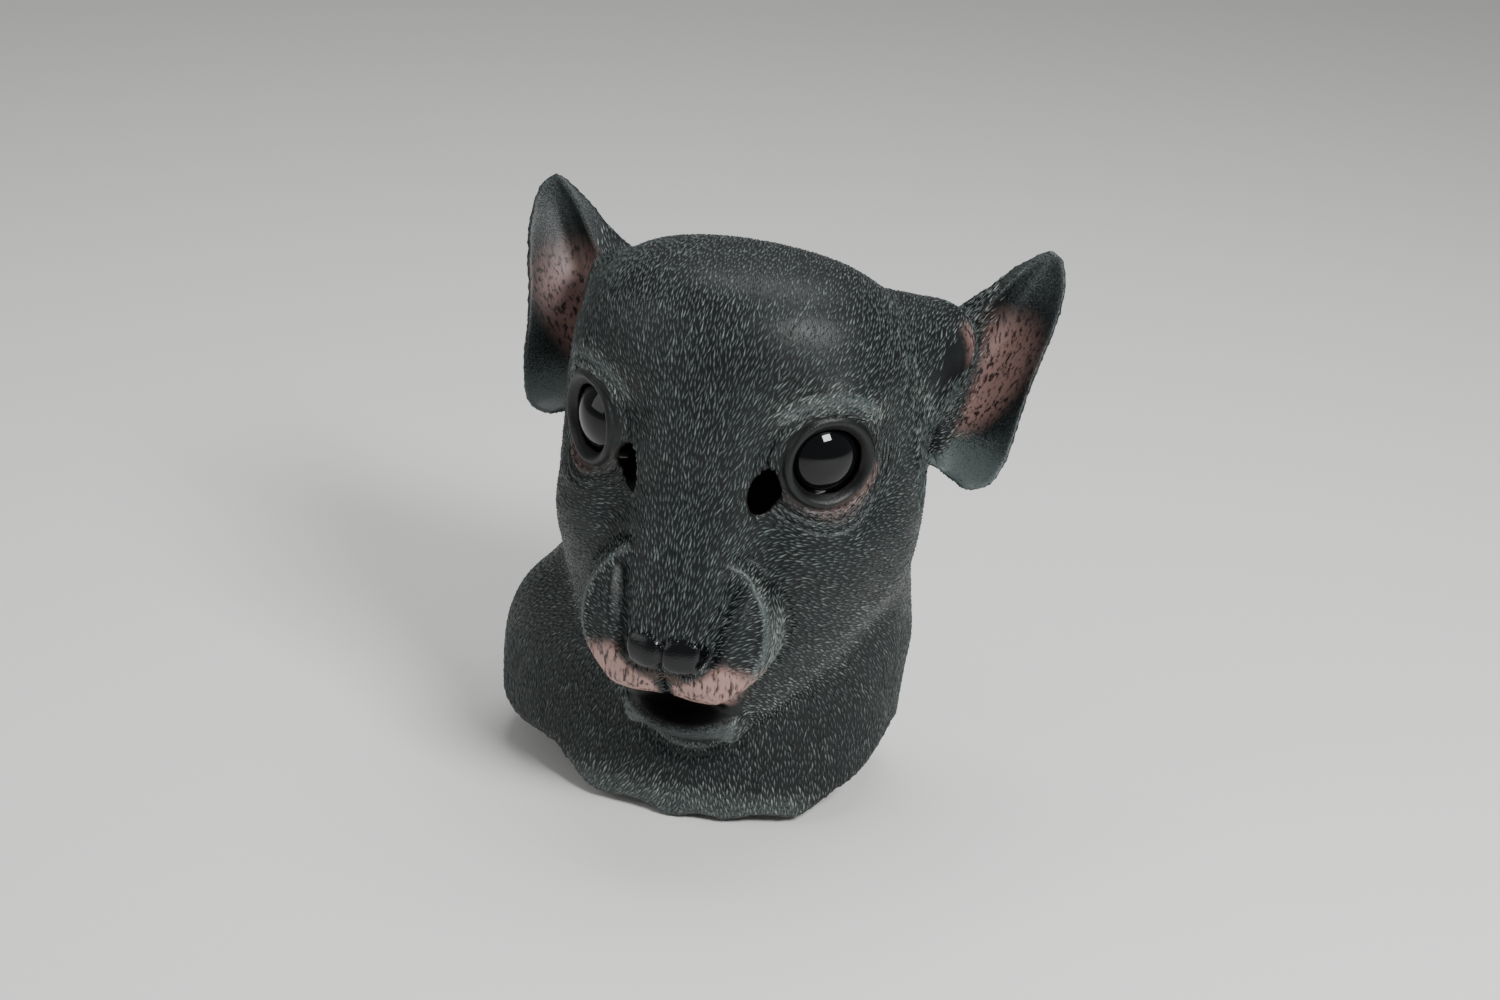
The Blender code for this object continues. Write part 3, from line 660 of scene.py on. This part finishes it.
@dataclass
class FurRelief:
    """The short raised strokes that the mould gives the latex for fur."""

    skin: bpy.types.Object
    painter: Painter
    candidates: int = 190_000
    spacing_across: float = 0.00138
    spacing_along: float = 0.0041
    length: float = 0.0082
    width: float = 0.0021
    height: float = 0.00075
    sunk: float = 0.00035
    # Where a stroke's tail, waist and head lie along it, and how light its five corners are brushed.
    feet_shares: tuple[float, float, float] = (-0.5, -0.12, 0.5)
    corner_tones: tuple[float, ...] = (0.25, 0.0, 1.0, 0.0, 0.7)
    seed: int = 7

    def scatter(self) -> tuple[Array, Array]:
        """Random places on the skin, by area.

        Returns:
            Points and normals.
        """
        mesh = self.skin.data
        corners, points, normals = read_triangles(mesh), read_points(mesh), read_normals(mesh)
        a, b, c = points[corners[:, 0]], points[corners[:, 1]], points[corners[:, 2]]
        area = np.linalg.norm(np.cross(b - a, c - a), axis=1)
        draw = np.random.default_rng(self.seed)
        chosen = draw.choice(len(area), self.candidates * 2, p=area / area.sum())
        u, v = draw.random(len(chosen)), draw.random(len(chosen))
        over = u + v > 1.0
        u[over], v[over] = 1.0 - u[over], 1.0 - v[over]
        share = np.stack([1.0 - u - v, u, v], axis=1)[:, :, None]
        place = (points[corners[chosen]] * share).sum(axis=1)
        normal = unit((normals[corners[chosen]] * share).sum(axis=1))
        raw = (read_values(mesh, Region.RAW)[corners[chosen]] * share[:, :, 0]).sum(axis=1)
        keep = draw.random(len(chosen)) > self.painter.bare(place, normal, smoothstep(raw, 0.1, 0.4))
        return place[keep][: self.candidates], normal[keep][: self.candidates]

    def thin(self, points: Array, flows: Array) -> Array:
        """Keeps strokes that leave each other room: close side by side, far end to end.

        Args:
            points: Places of the candidates.
            flows: The way each lies.

        Returns:
            Numbers of those that stay.
        """
        tree = KDTree(len(points))
        for index, point in enumerate(points):
            tree.insert(point, index)
        tree.balance()
        gone = np.zeros(len(points), bool)
        stay = []
        for index in range(len(points)):
            if gone[index]:
                continue
            stay.append(index)
            near = [hit[1] for hit in tree.find_range(points[index], self.spacing_along)]
            away = points[near] - points[index]
            along = away @ flows[index]
            across = np.sqrt(np.maximum((away**2).sum(axis=1) - along**2, 0.0))
            close = (along / self.spacing_along) ** 2 + (across / self.spacing_across) ** 2 < 1.0
            gone[np.array(near)[close]] = True
        return np.array(stay)

    def build(self) -> bpy.types.Object:
        """Makes every stroke as a low closed ridge that follows the skin.

        Returns:
            One object that holds them all.
        """
        points, normals = self.scatter()
        flows = self.painter.flow(points, normals)
        stay = self.thin(points, flows)
        points, normals, flows = points[stay], normals[stay], flows[stay]
        draw = np.random.default_rng(self.seed + 1)
        turn = draw.normal(0.0, 0.16, len(points))[:, None]
        sides = np.cross(normals, flows)
        flows = flows * np.cos(turn) + sides * np.sin(turn)
        sides = unit(np.cross(normals, flows))
        size = draw.uniform(0.75, 1.2, (len(points), 1))
        length, width = self.length * size, self.width * draw.uniform(0.8, 1.15, (len(points), 1))
        mesh = self.skin.data
        tree = BVHTree.FromPolygons(read_points(mesh).tolist(), read_triangles(mesh).tolist())
        feet = []
        for share in self.feet_shares:
            wanted = points + flows * (share * length)
            feet.append(np.array([tree.find_nearest(Vector(place))[0] for place in wanted]))
        tail, waist, head = feet
        deep, shallow = normals * self.sunk, normals * (0.3 * self.sunk)
        rows = [
            tail - shallow,
            waist - sides * width / 2 - deep,
            waist + normals * (self.height * 0.85 * size),
            waist + sides * width / 2 - deep,
            head + normals * (self.height * 0.25 * size) - shallow,
        ]
        places = np.stack(rows, axis=1).reshape(-1, 3)
        base = (np.arange(len(points)) * len(rows))[:, None, None]
        faces = (base + np.array(STROKE_FACES)[None]).reshape(-1, 3)
        made = bpy.data.meshes.new("moulded_fur")
        made.from_pydata(places.tolist(), [], faces.tolist())
        made.update()
        fur = bpy.data.objects.new("moulded_fur", made)
        bpy.context.scene.collection.objects.link(fur)
        paint = self.painter.paint(points, normals, np.zeros(len(points)))
        chance = draw.random(len(points))
        for region, values in paint.items():
            set_values(made, region, np.repeat(values, len(rows)))
        tone = 0.35 + 0.45 * chance + 0.6 * (chance > 0.93)
        set_values(made, Region.TIP, np.outer(tone, self.corner_tones).ravel())
        activate(fur)
        bpy.ops.object.shade_smooth()
        return fur


def linear(colour: str) -> tuple[float, float, float, float]:
    """An sRGB hex colour as the linear colour that a shader takes.

    Args:
        colour: Six hex digits after a number sign.

    Returns:
        Red, green, blue and alpha.
    """
    parts = [int(colour[index : index + 2], 16) / 255 for index in (1, 3, 5)]
    found = [part / 12.92 if part <= 0.04045 else ((part + 0.055) / 1.055) ** 2.4 for part in parts]
    return (found[0], found[1], found[2], 1.0)


def add_node(
    tree: bpy.types.NodeTree, kind: str, inputs: dict | None = None, **settings: Any
) -> bpy.types.Node:
    """Adds a shader node with its settings, values and links.

    Args:
        tree: The material's node tree.
        kind: The node's type.
        inputs: Values or output sockets by input name or number.
        settings: The node's own properties.

    Returns:
        The node.
    """
    made = tree.nodes.new(kind)
    for name, value in settings.items():
        setattr(made, name, value)
    for name, value in (inputs or {}).items():
        if isinstance(value, bpy.types.NodeSocket):
            tree.links.new(value, made.inputs[name])
        else:
            made.inputs[name].default_value = value
    return made


def new_material(name: str) -> tuple[bpy.types.Material, bpy.types.NodeTree, bpy.types.Node]:
    """A material with its Principled shader.

    Args:
        name: The material's name.

    Returns:
        The material, its node tree and the shader.
    """
    made = bpy.data.materials.new(name)
    made.use_nodes = True
    return made, made.node_tree, made.node_tree.nodes["Principled BSDF"]


@dataclass(frozen=True)
class PaintedLatex:
    """Slush-moulded natural latex under thin rubber paint, dry-brushed by hand, with painted highlights on
    the muzzle's rim, the jaw line and the brows, and black paint in the mouth's pocket that paints in its
    shade as well.

    To the eye: nearly black in the grooves, grey-green on the strokes, satin all over, wet-looking on
    the nose.
    """

    groove: str = "#050708"
    coat: str = "#101517"
    stroke: str = "#4d5655"
    brushed_and_highlight: str = "#aab3ab"
    pink: str = "#a3827b"
    pink_dash: str = "#3a2b2a"
    wedge: str = "#5a4231"
    raw_latex: str = "#1c1815"
    nose: str = "#07090c"
    # Black paint in the mouth's pocket, which also stands in for the shade deep in the mouth.
    pocket: str = "#050506"
    roughness: float = 0.44
    wet_roughness: float = 0.09
    ior: float = 1.52
    shine: float = 0.36
    grain_mm: float = 0.9
    dash_mm: float = 2.2
    mottle_mm: float = 26.0

    def make(self, name: str) -> bpy.types.Material:
        """Makes the material.

        Args:
            name: Its name.

        Returns:
            The material.
        """
        made, tree, shader = new_material(name)
        place = add_node(tree, "ShaderNodeTexCoord").outputs["Object"]
        area = {
            region: add_node(tree, "ShaderNodeAttribute", attribute_name=region.value).outputs["Fac"]
            for region in Region
        }
        mottle = add_node(
            tree, "ShaderNodeTexNoise", {"Vector": place, "Scale": 1000 / self.mottle_mm, "Detail": 3.0}
        ).outputs["Fac"]
        grain = add_node(
            tree, "ShaderNodeTexNoise", {"Vector": place, "Scale": 1000 / self.grain_mm, "Detail": 2.0}
        ).outputs["Fac"]
        base = self.mix(tree, mottle, linear(self.groove), linear(self.coat), 0.30, 0.75)
        colour = self.mix(tree, area[Region.TIP], base, linear(self.stroke), 0.0, 0.75)
        # The light grey on the strokes' tops shows the dry-brushing and also the painted highlights on the
        # muzzle's rim, jaw line and brows.
        dusting = add_node(
            tree, "ShaderNodeMath", {0: area[Region.TIP], 1: area[Region.BRUSH]}, operation="MULTIPLY"
        ).outputs[0]
        colour = self.mix(tree, dusting, colour, linear(self.brushed_and_highlight), 0.08, 0.75)
        rim = add_node(
            tree, "ShaderNodeMath", {0: area[Region.BRUSH], 1: grain}, operation="MULTIPLY"
        ).outputs[0]
        colour = self.mix(tree, rim, colour, linear(self.stroke), 0.22, 0.42)
        tall = add_node(
            tree, "ShaderNodeMapping", {"Vector": place, "Scale": (1.0, 1.0, 0.28)}
        ).outputs["Vector"]
        dash = add_node(
            tree, "ShaderNodeTexNoise", {"Vector": tall, "Scale": 1000 / self.dash_mm, "Detail": 2.0}
        ).outputs["Fac"]
        skin = self.mix(tree, dash, linear(self.pink), linear(self.pink_dash), 0.50, 0.64)
        colour = self.mix(tree, area[Region.PINK], colour, skin, 0.05, 0.8)
        colour = self.mix(tree, area[Region.TAN], colour, linear(self.wedge), 0.1, 0.7)
        colour = self.mix(tree, area[Region.GLOSS], colour, linear(self.nose), 0.1, 0.6)
        colour = self.mix(tree, area[Region.BLACK], colour, linear(self.pocket), 0.1, 0.7)
        colour = self.mix(tree, area[Region.RAW], colour, linear(self.raw_latex), 0.3, 0.7)
        tree.links.new(colour, shader.inputs["Base Color"])
        rough = add_node(
            tree,
            "ShaderNodeMapRange",
            {
                "Value": area[Region.GLOSS],
                "From Min": 0.1,
                "From Max": 0.6,
                "To Min": self.roughness,
                "To Max": self.wet_roughness,
            },
        ).outputs["Result"]
        tree.links.new(rough, shader.inputs["Roughness"])
        relief = add_node(
            tree, "ShaderNodeBump", {"Height": grain, "Strength": 0.40, "Distance": 0.0005}
        ).outputs["Normal"]
        tree.links.new(relief, shader.inputs["Normal"])
        shader.inputs["IOR"].default_value = self.ior
        shader.inputs["Specular IOR Level"].default_value = self.shine
        return made

    def mix(
        self, tree: bpy.types.NodeTree, factor: Any, first: Any, second: Any, low: float, high: float
    ) -> Any:
        """Blends two colours as a factor runs from low to high.

        Args:
            tree: The node tree.
            factor: The socket that blends.
            first: Colour or socket at low.
            second: Colour or socket at high.
            low: The factor's low end.
            high: The factor's high end.

        Returns:
            The blended colour's socket.
        """
        share = add_node(
            tree, "ShaderNodeMapRange", {"Value": factor, "From Min": low, "From Max": high}
        ).outputs["Result"]
        made = add_node(tree, "ShaderNodeMix", {"Factor": share}, data_type="RGBA")
        for socket, value in (("A_Color", first), ("B_Color", second)):
            target = next(item for item in made.inputs if item.identifier == socket)
            if isinstance(value, bpy.types.NodeSocket):
                tree.links.new(value, target)
            else:
                target.default_value = value
        return next(item for item in made.outputs if item.identifier == "Result_Color")


@dataclass(frozen=True)
class PolishedAcrylic:
    """Cast acrylic, polished: a deep black that mirrors the room."""

    body: str = "#040507"
    roughness: float = 0.03
    ior: float = 1.49
    shine: float = 0.36

    def make(self, name: str) -> bpy.types.Material:
        """Makes the material.

        Args:
            name: Its name.

        Returns:
            The material.
        """
        made, tree, shader = new_material(name)
        place = add_node(tree, "ShaderNodeTexCoord").outputs["Object"]
        haze = add_node(tree, "ShaderNodeTexNoise", {"Vector": place, "Scale": 60.0}).outputs["Fac"]
        rough = add_node(
            tree,
            "ShaderNodeMapRange",
            {"Value": haze, "To Min": self.roughness, "To Max": 2 * self.roughness},
        ).outputs["Result"]
        tree.links.new(rough, shader.inputs["Roughness"])
        shader.inputs["Base Color"].default_value = linear(self.body)
        shader.inputs["IOR"].default_value = self.ior
        shader.inputs["Specular IOR Level"].default_value = self.shine
        return made


@dataclass
class DomedEye:
    """One glossy domed eye, from its seat in the latex outwards."""

    side: int
    anatomy: Anatomy = field(default_factory=Anatomy)
    back_depth: float = 0.021

    def build(self) -> bpy.types.Object:
        """Makes the dome from a ball that is cut flat behind.

        Returns:
            The finished object.
        """
        body = self.anatomy
        axis = Vector((self.side * math.sin(body.eye_turn), -math.cos(body.eye_turn), 0.0))
        centre = Vector((self.side * body.eye_x * MM, FACE_PLANE, EYE_LEVEL)) - axis * body.eye_setback * MM
        deselect()
        bpy.ops.mesh.primitive_uv_sphere_add(segments=96, ring_count=64, radius=body.eye_radius * MM)
        eye = bpy.context.object
        eye.name = "eye_dome_left" if self.side > 0 else "eye_dome_right"
        eye.data.transform(Matrix.Translation(centre) @ axis.to_track_quat("Z", "Y").to_matrix().to_4x4())
        bpy.ops.object.mode_set(mode="EDIT")
        bpy.ops.mesh.select_all(action="SELECT")
        cut = centre + axis * (body.eye_radius * MM - self.back_depth)
        bpy.ops.mesh.bisect(plane_co=cut, plane_no=axis, use_fill=True, clear_inner=True)
        bpy.ops.object.mode_set(mode="OBJECT")
        bpy.ops.object.shade_smooth_by_angle(angle=math.radians(40))
        return eye


@dataclass
class Studio:
    """The pale floor, the soft lights and the camera at the photograph's angle."""

    azimuth: float = math.radians(18)
    elevation: float = math.radians(24)
    roll: float = math.radians(3.5)
    distance: float = 1.5
    mm_per_pixel: float = 0.56
    offset: tuple[float, float] = (-39.0, 63.0)
    image_width: int = 1500
    sensor: float = 36.0
    look_at: tuple[float, float, float] = (0.0, 0.0, -0.12)

    def camera(self) -> None:
        """Sets the camera where the photograph was taken from."""
        az, el = self.azimuth, self.elevation
        back = Vector((math.sin(az) * math.cos(el), -math.cos(az) * math.cos(el), math.sin(el)))
        level = Vector((math.cos(az), math.sin(az), 0))
        rise = back.cross(level)
        right = level * math.cos(self.roll) + rise * math.sin(self.roll)
        up = rise * math.cos(self.roll) - level * math.sin(self.roll)
        turn = Matrix((right, up, back)).transposed()
        pixel = self.mm_per_pixel * MM
        local = Vector((self.offset[0] * pixel, self.offset[1] * pixel, -self.distance))
        data = bpy.data.cameras.new("camera")
        data.sensor_width = self.sensor
        data.lens = self.sensor * self.distance / pixel / self.image_width
        made = bpy.data.objects.new("camera", data)
        place = Vector((0, FACE_PLANE, EYE_LEVEL)) - turn @ local
        made.matrix_world = Matrix.Translation(place) @ turn.to_4x4()
        bpy.context.scene.collection.objects.link(made)
        bpy.context.scene.camera = made

    def light(self, name: str, place: tuple, size: tuple[float, float], power: float) -> None:
        """Adds a soft box that looks at the mask.

        Args:
            name: The light's name.
            place: Where it stands.
            size: Its width and height.
            power: Its power in watts.
        """
        data = bpy.data.lights.new(name, "AREA")
        data.shape = "RECTANGLE"
        data.size, data.size_y = size
        data.energy = power
        made = bpy.data.objects.new(name, data)
        away = Vector(place) - Vector(self.look_at)
        made.matrix_world = Matrix.Translation(place) @ away.to_track_quat("Z", "Y").to_matrix().to_4x4()
        bpy.context.scene.collection.objects.link(made)

    def build(self, floor_level: float) -> None:
        """Makes the floor, the lights and the world.

        Args:
            floor_level: The height of the floor.
        """
        deselect()
        bpy.ops.mesh.primitive_plane_add(size=12.0, location=(0, 0, 0))
        floor = bpy.context.object
        floor.name = "floor"
        floor.data.transform(Matrix.Translation((0, 0, floor_level)))
        made, _, shader = new_material("matt_backdrop_paper")
        shader.inputs["Base Color"].default_value = linear("#f1f1ef")
        shader.inputs["Roughness"].default_value = 0.9
        floor.data.materials.append(made)
        floor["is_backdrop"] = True
        self.light("key_softbox", (1.18, -0.78, 1.10), (0.60, 0.45), 38.0)
        self.light("fill_softbox", (-1.3, -0.9, 0.55), (1.2, 1.0), 6.0)
        self.light("top_softbox", (0.0, 0.5, 1.4), (1.2, 0.8), 15.0)
        world = bpy.data.worlds.new("studio")
        bpy.context.scene.world = world
        world.use_nodes = True
        world.node_tree.nodes["Background"].inputs["Color"].default_value = (1.0, 1.0, 1.0, 1.0)
        world.node_tree.nodes["Background"].inputs["Strength"].default_value = 0.24
        self.camera()


def finish_piece(piece: bpy.types.Object, finish: bpy.types.Material, slot: str, *nodes: str) -> None:
    """Dresses a piece, fixes it to the mask's one body and says what it stands for.

    Args:
        piece: The finished object.
        finish: Its material.
        slot: The name of its material slot, only logged.
        nodes: CAD nodes that it replaces.
    """
    piece.data.materials.clear()
    piece.data.materials.append(finish)
    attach(piece, "root")
    if nodes:
        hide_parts(*nodes)
    count = sum(len(face.vertices) - 2 for face in piece.data.polygons)
    LOG.info("%s: %d triangles, slot %s", piece.name, count, slot)


def main() -> None:
    """Builds the mask piece by piece, then the studio round it."""
    logging.basicConfig(level=logging.INFO, format="%(name)s %(message)s")
    painter = Painter()
    latex = PaintedLatex().make("painted_latex")
    acrylic = PolishedAcrylic().make("polished_black_acrylic")
    skin = LatexSkin(painter=painter).build()
    fur = FurRelief(skin, painter).build()
    finish_piece(skin, latex, "dark_latex", "latex_skin")
    finish_piece(fur, latex, "dark_latex")
    for side, node in ((-1, "eye_right"), (1, "eye_left")):
        finish_piece(DomedEye(side).build(), acrylic, "black_eye", node)
    Studio().build(min(CAD_BOX[0][2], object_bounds()[0][2]) - 0.001)
    deselect()


if __name__ == "__main__":
    main()
